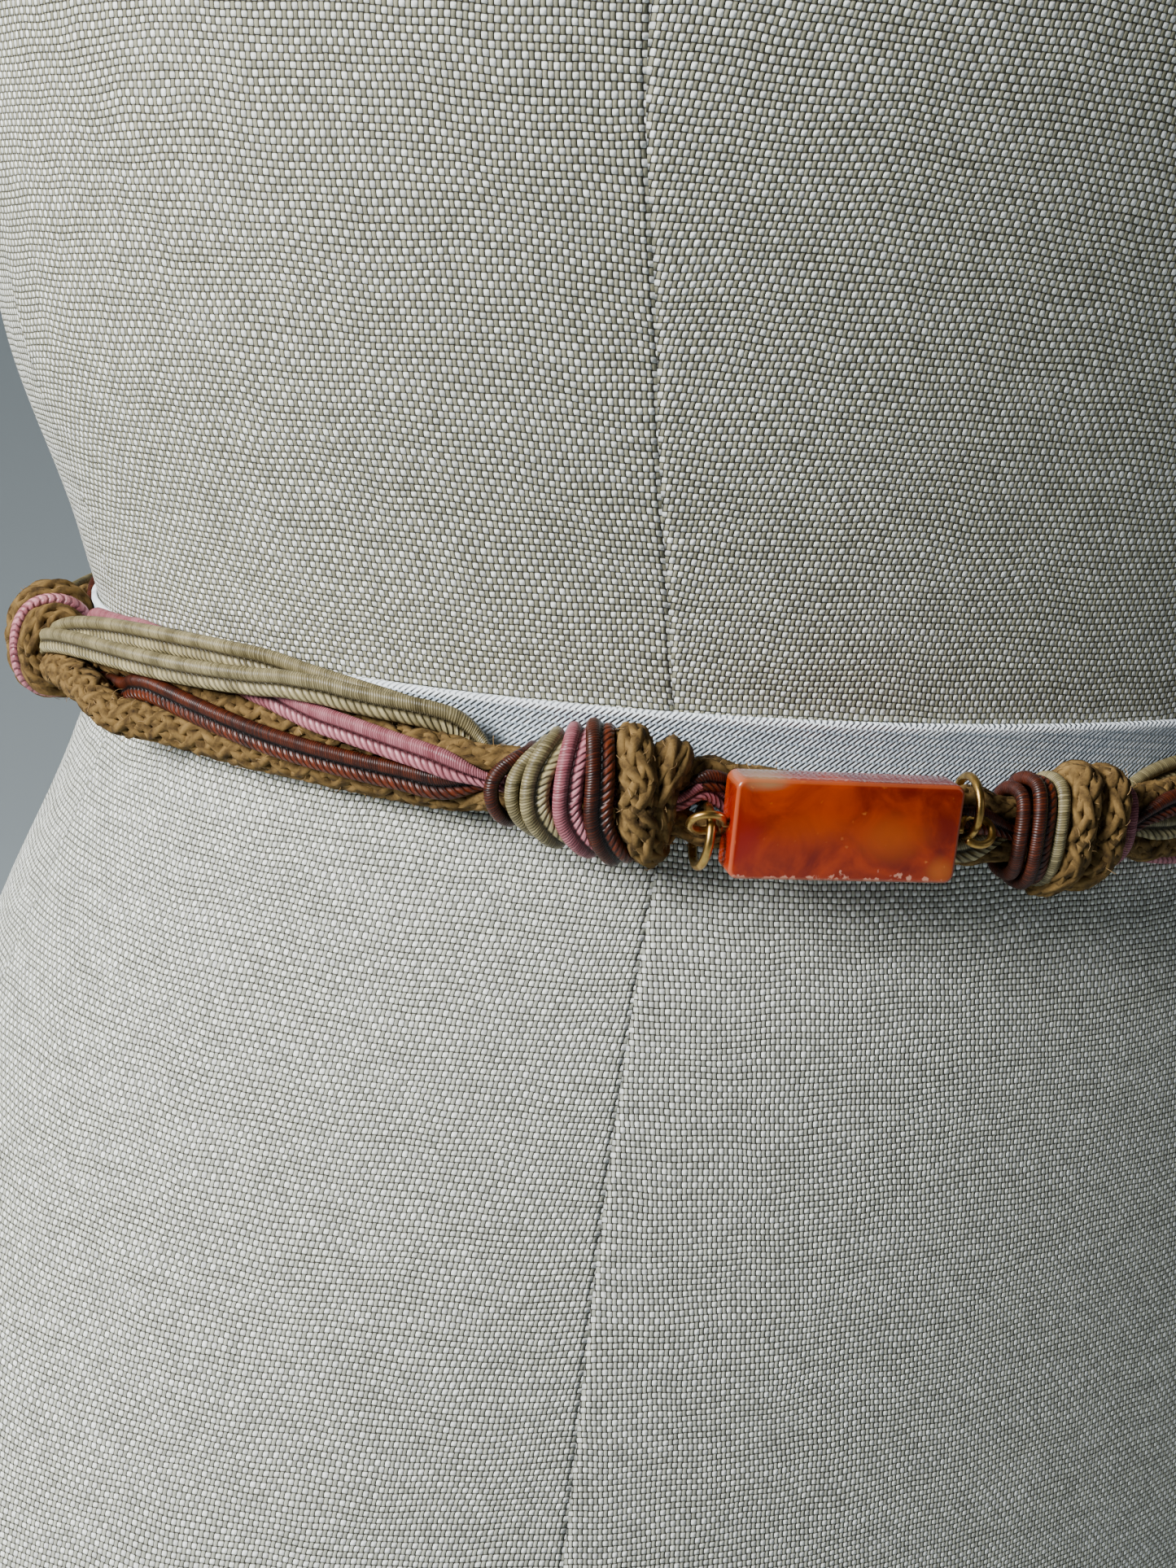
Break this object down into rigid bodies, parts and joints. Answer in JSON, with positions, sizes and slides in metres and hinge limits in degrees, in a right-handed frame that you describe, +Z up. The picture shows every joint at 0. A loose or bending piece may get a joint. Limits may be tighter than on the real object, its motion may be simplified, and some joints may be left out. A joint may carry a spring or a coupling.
{
  "type": "rope belt on dress form",
  "caption": "knotted belt of tan rope and silk braids with a hanging stone bar, worn round the waist of a limbless linen dress form",
  "frame": {"origin": "centre of the bounding box on the surface the form stands on", "axes": "+X to the wearer's left, -Y to the form's front, +Z up"},
  "size_m": [0.372, 0.244, 0.771],
  "materials": {
    "form_linen": "plain-woven natural linen, matt",
    "tape_twill": "bluish white cotton twill tape, matt",
    "tan_cotton": "soft plaited cotton rope, fuzzy, matt",
    "brown_silk": "dark brown silk soutache braid, slight sheen",
    "pink_silk": "dusty pink silk soutache braid, slight sheen",
    "champagne_silk": "champagne silk soutache braid, sheen",
    "agate": "polished red-orange agate, translucent at its edges",
    "brass_wire": "round brass wire, bright"
  },
  "bodies": {
    "root": {"brown_braid": "brown_silk", "champagne_lower_braid": "champagne_silk", "champagne_upper_braid": "champagne_silk", "form_body": "form_linen", "hook": "brass_wire", "knot_1_brown": "brown_silk", "knot_1_brown_collar": "brown_silk", "knot_1_champagne": "champagne_silk", "knot_1_pink": "pink_silk", "knot_1_tan": "tan_cotton", "knot_1_tan_end": "tan_cotton", "knot_2_champagne": "champagne_silk", "knot_2_pink": "pink_silk", "knot_2_tan": "tan_cotton", "knot_2_tan_end": "tan_cotton", "knot_3_brown": "brown_silk", "knot_3_brown_collar": "brown_silk", "knot_3_champagne": "champagne_silk", "knot_3_pink": "pink_silk", "knot_3_tan": "tan_cotton", "knot_3_tan_end": "tan_cotton", "knot_4_brown": "brown_silk", "knot_4_brown_collar": "brown_silk", "knot_4_champagne": "champagne_silk", "knot_4_pink": "pink_silk", "knot_4_tan": "tan_cotton", "knot_4_tan_end": "tan_cotton", "knot_5_champagne": "champagne_silk", "knot_5_pink": "pink_silk", "knot_5_tan": "tan_cotton", "knot_5_tan_end": "tan_cotton", "knot_6_brown": "brown_silk", "knot_6_brown_collar": "brown_silk", "knot_6_champagne": "champagne_silk", "knot_6_pink": "pink_silk", "knot_6_tan": "tan_cotton", "knot_6_tan_end": "tan_cotton", "knot_7_brown": "brown_silk", "knot_7_brown_collar": "brown_silk", "knot_7_champagne": "champagne_silk", "knot_7_pink": "pink_silk", "knot_7_tan": "tan_cotton", "knot_7_tan_end": "tan_cotton", "pink_braid": "pink_silk", "ring_left": "brass_wire", "ring_right": "brass_wire", "stone": "agate", "stone_wire": "brass_wire", "tan_rope": "tan_cotton", "waist_tape": "tape_twill"}
  },
  "joints": []
}
